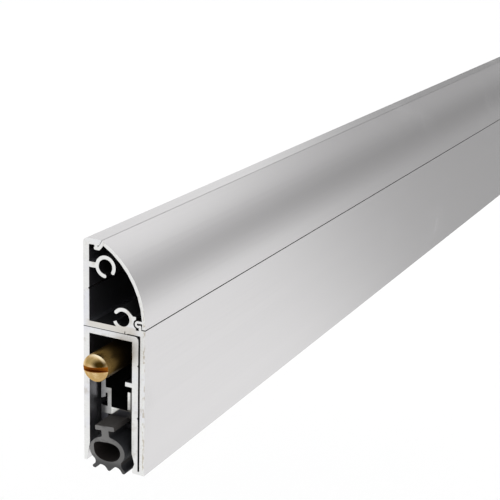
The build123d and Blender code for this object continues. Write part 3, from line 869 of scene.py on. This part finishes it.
def arcPoints(halfWidth, halfHeight, middleHeight, fromAngle, toAngle, count, middle=0.0):
    points = []
    for i in range(count + 1):
        turn = math.radians(fromAngle + (toAngle - fromAngle) * i / count)
        across, up = halfWidth * math.cos(turn), halfHeight * math.sin(turn)
        points.append((middle + across, middleHeight + up))
    return points


def sealSection():
    # the outline and the hollow, in mm from the middle and up from the front leg's foot
    right = [(0.35, 12.6), (2.65, 12.6), (2.8, 12.45), (2.8, 11.45), (2.65, 11.3), (1.2, 11.3)]
    right += [(1.05, 11.15), (1.05, 9.75), (1.25, 9.5)]
    right += arcPoints(5.2, 4.2, 5.3, 74, -40.5, 18)
    right += arcPoints(1.6, 1.6, 1.91, 156, 236, 8, 5.43)  # hollow flank of the outer fin
    right += arcPoints(0.55, 0.55, 0.05, 60, -161, 10, 4.35)
    right += arcPoints(1.751, 1.751, -0.701, 23, 157, 12, 2.175)  # arch between two fins
    right += arcPoints(0.55, 0.55, 0.05, -19, -82, 5)
    outer = right + [(-x, h) for x, h in reversed(right)]

    hollow = []
    steps = 64
    for i in range(steps):
        turn = 2 * math.pi * i / steps
        across, up = math.cos(turn), math.sin(turn)
        tall, power = 3.0, 2.1
        if up >= 0:
            tall, power = 2.6, 4.5 if across > 0 else 2.3
        reach = (abs(across) ** power + abs(up) ** power) ** (-1 / power)
        hollow.append((3.92 * across * reach, 5.3 + tall * up * reach))
    hollow.reverse()
    return [[(x * mm, h * mm) for x, h in ring] for ring in (outer, hollow)]


def addSeal(sizes, paint):
    section = bpy.data.curves.new("sealSection", "CURVE")
    section.dimensions = "2D"
    for ring in sealSection():
        spline = section.splines.new("POLY")
        spline.points.add(len(ring) - 1)
        for point, (x, h) in zip(spline.points, ring):
            point.co = (x, h, 0, 1)
        spline.use_cyclic_u = True

    tree, given = newTree("sealTree", sizes)
    reach = minus(tree, given["Far end"], given["Near end"])
    line = made(tree, "GeometryNodeCurvePrimitiveLine", {
        "Start": (0, 0, 0), "End": xyz(tree, 0.0, 0.0, reach)})
    path = made(tree, "GeometryNodeResampleCurve", {"Curve": line, "Count": given["Steps"]})
    walls = made(tree, "GeometryNodeCurveToMesh", {
        "Curve": path, "Profile Curve": given["Geometry"]})
    face = made(tree, "GeometryNodeFillCurve", {"Curve": given["Geometry"]})
    farFace = moved(tree, face, 0.0, 0.0, reach)
    nearFace = made(tree, "GeometryNodeFlipFaces", {"Mesh": face})
    whole = merged(tree, joined(tree, walls, farFace, nearFace), 0.002 * mm)

    # from the section's axes to the bar's, with the slant, the waves, the tilt and the roll
    across, up, along = split(tree, made(tree, "GeometryNodeInputPosition"))
    leaning = remap(tree, up, given["Tip level"], given["Head level"], 1.0, 0.0)
    nearStart = remap(tree, along, 0.0, given["Slant reach"], 1.0, 0.0)
    slant = times(tree, leaning, given["Slant"], nearStart)
    x = plus(tree, plus(tree, along, given["Near end"]), slant)

    wave = noise(tree, xyz(tree, times(tree, along, given["Waves"]), 0.0, 0.0), 1.0, 1.0)
    free = remap(tree, up, given["Held level"], given["Tip level"])
    sway = times(tree, minus(tree, wave, 0.5), given["Unevenness"], free, 2.0)
    rise = minus(tree, up, given["Bulb level"])
    above = times(tree, larger(tree, rise, 0.0), given["Tilt of head"])
    below = times(tree, calc(tree, "MINIMUM", rise, 0.0), given["Tilt of fins"])
    y = plus(tree, plus(tree, across, given["Middle"]), sway)
    y = plus(tree, y, plus(tree, above, below))

    roll = remap(tree, up, 0.0, given["Flank level"], given["Roll of fins"], given["Roll of head"])
    roll = times(tree, roll, remap(tree, along, 0.0, given["Roll reach"], 1.0, 0.0))
    z = plus(tree, minus(tree, up, times(tree, roll, across)), given["Foot level"])
    z = larger(tree, z, cadBox[0].z)
    whole = placed(tree, whole, x, y, z)
    closeTree(tree, whole, paint)

    piece = finishedMesh("rubberSeal", section, tree, sizes, 40)
    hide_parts("seal_strip")
    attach(piece, "drop_set")


# push rod: plain bar with a rolled thread at the button end

rodSet = {
    "Near end": -301.0 * mm,
    "Far end": 214.0 * mm,
    "Radius": 2.5 * mm,
    "Thread length": 36.0 * mm,
    "Thread share": 0.94,  # the part of the rings that the thread takes
    "Pitch": 0.8 * mm,
    "Thread depth": 0.42 * mm,
    "End chamfer": 0.5 * mm,
    "Rings": 400,
    "Around": 32,
}


def addRod(sizes, paint):
    # a flat grid rolled into a bar, whose first and last rows close its ends
    tree, given = newTree("rodTree", sizes)
    grid = made(tree, "GeometryNodeMeshGrid", {
        "Size X": 1.0, "Size Y": 1.0,
        "Vertices X": given["Rings"], "Vertices Y": plus(tree, given["Around"], 1.0)})
    u, v = split(tree, made(tree, "GeometryNodeInputPosition"))[:2]
    u = plus(tree, u, 0.5)
    turn = times(tree, plus(tree, v, 0.5), 2 * math.pi)
    step = calc(tree, "DIVIDE", 1.0, minus(tree, given["Rings"], 1.0))
    reach = minus(tree, given["Far end"], given["Near end"])
    plainReach = minus(tree, reach, given["Thread length"])
    threaded = remap(tree, u, step, given["Thread share"], 0.0, given["Thread length"])
    plain = remap(tree, u, given["Thread share"], minus(tree, 1.0, step), 0.0, plainReach)
    along = plus(tree, threaded, plain)

    phase = calc(tree, "DIVIDE", along, given["Pitch"])
    phase = minus(tree, phase, calc(tree, "DIVIDE", turn, 2 * math.pi))
    tooth = remap(tree, calc(tree, "PINGPONG", phase, 0.5), 0.05, 0.45)
    runOut = minus(tree, given["Thread length"], given["Pitch"])
    fade = remap(tree, along, runOut, given["Thread length"], 1.0, 0.0)
    radius = minus(tree, given["Radius"], times(tree, tooth, fade, given["Thread depth"]))
    endRadius = minus(tree, given["Radius"], given["End chamfer"])
    nearLimit = plus(tree, along, endRadius)
    farLimit = plus(tree, minus(tree, reach, along), endRadius)
    radius = calc(tree, "MINIMUM", radius, calc(tree, "MINIMUM", nearLimit, farLimit))
    halfStep = times(tree, step, 0.5)
    openNear = calc(tree, "GREATER_THAN", u, halfStep)
    openFar = calc(tree, "LESS_THAN", u, minus(tree, 1.0, halfStep))
    radius = times(tree, radius, openNear, openFar)

    x = plus(tree, given["Near end"], along)
    y = plus(tree, middleY, times(tree, radius, calc(tree, "COSINE", turn)))
    z = plus(tree, rodZ, times(tree, radius, calc(tree, "SINE", turn)))
    closeTree(tree, merged(tree, placed(tree, grid, x, y, z), 0.004 * mm), paint)

    piece = finishedMesh("pushRod", bpy.data.meshes.new("rodBase"), tree, sizes, 50)
    turnOutwards(piece.data)
    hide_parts("push_rod")
    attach(piece, "push_set")


# lift springs: a coil between two eyes, drawn at one length; on the real bar they stretch as the
# drop bar goes down

springSet = {
    "Upper pin": -22.3 * mm,
    "Lower pin": -30.7 * mm,
    "Coil radius": 1.75 * mm,
    "Wire": 0.45 * mm,
    "Eye radius": 1.085 * mm,
    "Neck": 0.7 * mm,
    "Turns": 5.0,
}
springPlaces = (-271.0 * mm, 199.0 * mm)


def addSprings(sizes, paint):
    tree, given = newTree("springTree", sizes)
    inset = plus(tree, given["Eye radius"], given["Neck"])
    low = plus(tree, given["Lower pin"], inset)
    high = minus(tree, given["Upper pin"], inset)
    coil = made(tree, "GeometryNodeCurveSpiral", {
        "Resolution": 22, "Rotations": given["Turns"], "Start Radius": given["Coil radius"],
        "End Radius": given["Coil radius"], "Height": minus(tree, high, low)})
    wires = [moved(tree, coil, 0.0, 0.0, low)]
    for pin, end, side in ((given["Lower pin"], low, 1.0), (given["Upper pin"], high, -1.0)):
        ring = made(tree, "GeometryNodeCurvePrimitiveCircle", {
            "Resolution": 26, "Radius": given["Eye radius"]})
        eye = moved(tree, ring, 0.0, 0.0, pin, (math.pi / 2, 0, 0))
        eyeEnd = plus(tree, pin, times(tree, given["Eye radius"], side))
        neck = made(tree, "GeometryNodeCurvePrimitiveBezierSegment", {
            "Resolution": 10,
            "Start": xyz(tree, 0.0, 0.0, eyeEnd),
            "Start Handle": xyz(tree, given["Neck"], 0.0, eyeEnd),
            "End": xyz(tree, given["Coil radius"], 0.0, end),
            "End Handle": xyz(tree, given["Coil radius"], times(tree, given["Neck"], -side), end)})
        wires += [eye, neck]
    section = made(tree, "GeometryNodeCurvePrimitiveCircle", {
        "Resolution": 10, "Radius": times(tree, given["Wire"], 0.5)})
    spring = made(tree, "GeometryNodeCurveToMesh", {
        "Curve": joined(tree, *wires), "Profile Curve": section, "Fill Caps": True})
    copies = [moved(tree, spring, x, middleY, 0.0) for x in springPlaces]
    closeTree(tree, joined(tree, *copies), paint)

    piece = finishedMesh("liftSprings", bpy.data.meshes.new("springBase"), tree, sizes, 60)
    turnOutwards(piece.data)
    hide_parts("lift_spring_near", "lift_spring_far")
    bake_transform(piece)


# button: a turned brass pin with a domed, slotted head

buttonSet = {
    "front": -313.4 * mm,
    "back": -291.0 * mm,
    "radius": 3.6 * mm,
    "dome": 1.4 * mm,
    "domeSteps": 12,
    "rim": 0.22 * mm,
    # the lip's corners: how far past the dome, and how far in from the side
    "lip": ((-0.06 * mm, 0.10 * mm), (0.05 * mm, 0.02 * mm), (0.16 * mm, 0.0)),
    "chamfer": 0.3 * mm,
    "bore": 2.5 * mm,
    "boreChamfer": 0.2 * mm,
    "boreDepth": 10.0 * mm,
    "around": 96,
    "slotWidth": 1.1 * mm,
    "slotLength": 12.0 * mm,  # right across the face
    "slotDepth": 1.5 * mm,
    "slotTurn": slotTurn,
    "edgeRadius": 0.09 * mm,
}


def buttonOutline(sizes):
    # half of the button's section, as places along the axis and distances from it
    front, back, radius, dome = (sizes[key] for key in ("front", "back", "radius", "dome"))
    bore = sizes["bore"]
    crown = (radius ** 2 + dome ** 2) / (2 * dome)
    steps = sizes["domeSteps"]
    outline = []
    for i in range(steps + 1):
        out = (radius - sizes["rim"]) * i / steps
        outline.append((front + crown - math.sqrt(crown ** 2 - out ** 2), out))
    outline += [(front + dome + past, radius - inset) for past, inset in sizes["lip"]]
    outline += [(back - sizes["chamfer"], radius), (back, radius - sizes["chamfer"])]
    outline += [(back, bore + sizes["boreChamfer"]), (back - sizes["boreChamfer"], bore)]
    outline += [(back - sizes["boreDepth"], bore), (back - sizes["boreDepth"], 0.0)]
    return outline


def keepWork(name, work):
    mesh = bpy.data.meshes.new(name)
    work.to_mesh(mesh)
    work.free()
    holder = bpy.data.objects.new(name, mesh)
    bpy.context.scene.collection.objects.link(holder)
    return holder


def turnedShape(name, outline, around):
    work = bmesh.new()
    rows = []
    for x, out in outline:
        if out == 0.0:
            rows.append([work.verts.new((x, middleY, rodZ))])
            continue
        ring = []
        for i in range(around):
            turn = 2 * math.pi * i / around
            y, z = middleY + out * math.cos(turn), rodZ + out * math.sin(turn)
            ring.append(work.verts.new((x, y, z)))
        rows.append(ring)
    for low, high in zip(rows, rows[1:]):
        for i in range(around):
            j = (i + 1) % around
            places = ((low, i), (low, j), (high, j), (high, i))
            corners = [ring[k % len(ring)] for ring, k in places]
            work.faces.new(list(dict.fromkeys(corners)))
    bmesh.ops.recalc_face_normals(work, faces=work.faces)
    return keepWork(name, work)


def slotBlade(name, sizes):
    work = bmesh.new()
    bmesh.ops.create_cube(work, size=1.0)
    spare = 2.0 * mm  # in front of the face
    c, s = math.cos(sizes["slotTurn"]), math.sin(sizes["slotTurn"])
    for vert in work.verts:
        along, aside = vert.co.y * sizes["slotLength"], vert.co.z * sizes["slotWidth"]
        vert.co.x = sizes["front"] - spare + (vert.co.x + 0.5) * (sizes["slotDepth"] + spare)
        vert.co.y = middleY + along * c + aside * s
        vert.co.z = rodZ - along * s + aside * c
    return keepWork(name, work)


def addButton(sizes, paint):
    turned = turnedShape("buttonTurned", buttonOutline(sizes), sizes["around"])
    blade = slotBlade("slotCutter", sizes)
    slot = turned.modifiers.new("slot", "BOOLEAN")
    slot.object = blade
    slot.operation = "DIFFERENCE"
    slot.solver = "EXACT"
    soften = turned.modifiers.new("soften", "BEVEL")
    soften.width = sizes["edgeRadius"]
    soften.segments = 2
    soften.limit_method = "ANGLE"
    soften.angle_limit = math.radians(50)
    result = plainMesh(turned)
    bpy.data.objects.remove(blade)
    result.materials.clear()
    result.materials.append(paint)
    piece = keepMesh("brassButton", result, 32)
    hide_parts("button")
    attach(piece, "push_set")


# the nodes that keep their own shape get their finish

def dress(material, *names):
    for name in names:
        if not nodes[name].material_slots:
            nodes[name].data.materials.append(material)
        for slot in nodes[name].material_slots:
            slot.material = material


addCamera(cameraSet)
addStudio(studioSet)
print("door seal: camera and studio")

brassPaint = brass(brassSet)
steelPaint = plainFinish(zincSet)
nylonPaint = plainFinish(nylonSet)
dress(aluminium("profileAluminium", profileInside, aluminiumSet), "mounting_profile")
dress(aluminium("coverAluminium", coverInside, aluminiumSet), "snap_cover")
dress(aluminium("housingAluminium", housingInside, aluminiumSet), "housing")
dress(aluminium("dropBarAluminium", nowhere, dropBarSet, carrierEnd), "drop_bar")
dress(brassPaint, "lock_nut")
dress(nylonPaint, "guide_block_near", "guide_block_mid", "guide_block_far")
dress(nylonPaint, "slider_near", "slider_far", "side_glides")
dress(steelPaint, "guide_screws", "set_screws", "fork_pin_near", "fork_pin_far")
dress(steelPaint, "swing_arm_near", "swing_arm_far", "bar_pin_near", "bar_pin_far")
dress(steelPaint, "spring_hangers", "spring_pin_near", "spring_pin_far")
print("door seal: finishes on the carried-over nodes")

addSeal(sealSet, rubber(rubberSet))
addRod(rodSet, steelPaint)
addSprings(springSet, plainFinish(springSteelSet))
addButton(buttonSet, brassPaint)
print("door seal: detailed pieces")
